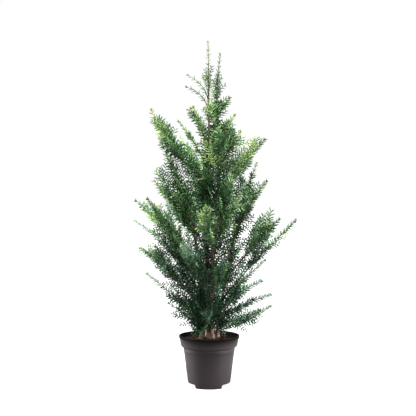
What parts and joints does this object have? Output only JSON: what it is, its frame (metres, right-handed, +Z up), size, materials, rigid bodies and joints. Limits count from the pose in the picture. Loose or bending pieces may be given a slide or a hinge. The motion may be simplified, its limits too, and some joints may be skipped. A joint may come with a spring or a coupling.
{
  "type": "yew tree",
  "caption": "Young multi-stemmed yew with upright feathery boughs of flat needle sprays, growing in a round tapered nursery pot.",
  "frame": {"origin": "middle of the pot's flat underside, on the surface that the pot stands on", "axes": "+Z up along the plant's height, +X to the right and -Y towards the viewer, with the widest branches to the left and right"},
  "size_m": [0.5686, 0.3894, 1.176],
  "materials": {
    "pot_plastic": "dark grey-brown moulded plastic with a soft sheen",
    "potting_soil": "rough damp bark and peat compost",
    "yew_bark": "reddish-brown flaky bark",
    "yew_needles": "dark green needles, waxy above and paler below"
  },
  "bodies": {
    "root": {"bough_left_crown": "yew_bark", "bough_left_wide_high": "yew_bark", "bough_left_wide_low": "yew_bark", "bough_right_middle": "yew_bark", "bough_right_wide": "yew_bark", "bough_right_wide_high": "yew_bark", "foliage_back_crown_left": "yew_needles", "foliage_back_crown_right": "yew_needles", "foliage_back_foot_left": "yew_needles", "foliage_back_foot_right": "yew_needles", "foliage_back_left": "yew_needles", "foliage_back_left_high": "yew_needles", "foliage_back_low": "yew_needles", "foliage_back_right": "yew_needles", "foliage_back_right_high": "yew_needles", "foliage_crown_back": "yew_needles", "foliage_crown_front": "yew_needles", "foliage_crown_left": "yew_needles", "foliage_crown_left_high": "yew_needles", "foliage_crown_left_low": "yew_needles", "foliage_crown_right": "yew_needles", "foliage_crown_right_low": "yew_needles", "foliage_front_crown": "yew_needles", "foliage_front_foot": "yew_needles", "foliage_front_low_left": "yew_needles", "foliage_front_low_right": "yew_needles", "foliage_front_middle": "yew_needles", "foliage_front_right": "yew_needles", "foliage_left_crown": "yew_needles", "foliage_left_foot": "yew_needles", "foliage_left_high": "yew_needles", "foliage_left_inner": "yew_needles", "foliage_left_low": "yew_needles", "foliage_left_upper": "yew_needles", "foliage_left_whip": "yew_needles", "foliage_left_wide_front": "yew_needles", "foliage_left_wide_high": "yew_needles", "foliage_left_wide_low": "yew_needles", "foliage_right_crown": "yew_needles", "foliage_right_foot": "yew_needles", "foliage_right_inner": "yew_needles", "foliage_right_low": "yew_needles", "foliage_right_low_back": "yew_needles", "foliage_right_low_wide": "yew_needles", "foliage_right_middle": "yew_needles", "foliage_right_upper": "yew_needles", "foliage_right_wide": "yew_needles", "foliage_right_wide_high": "yew_needles", "foliage_top_back": "yew_needles", "foliage_top_front": "yew_needles", "foliage_top_leader": "yew_needles", "foliage_top_left": "yew_needles", "foliage_top_right": "yew_needles", "pot": "pot_plastic", "soil": "potting_soil", "stem_back": "yew_bark", "stem_front": "yew_bark", "stem_leader": "yew_bark", "stem_left": "yew_bark", "stem_right": "yew_bark"}
  },
  "joints": []
}
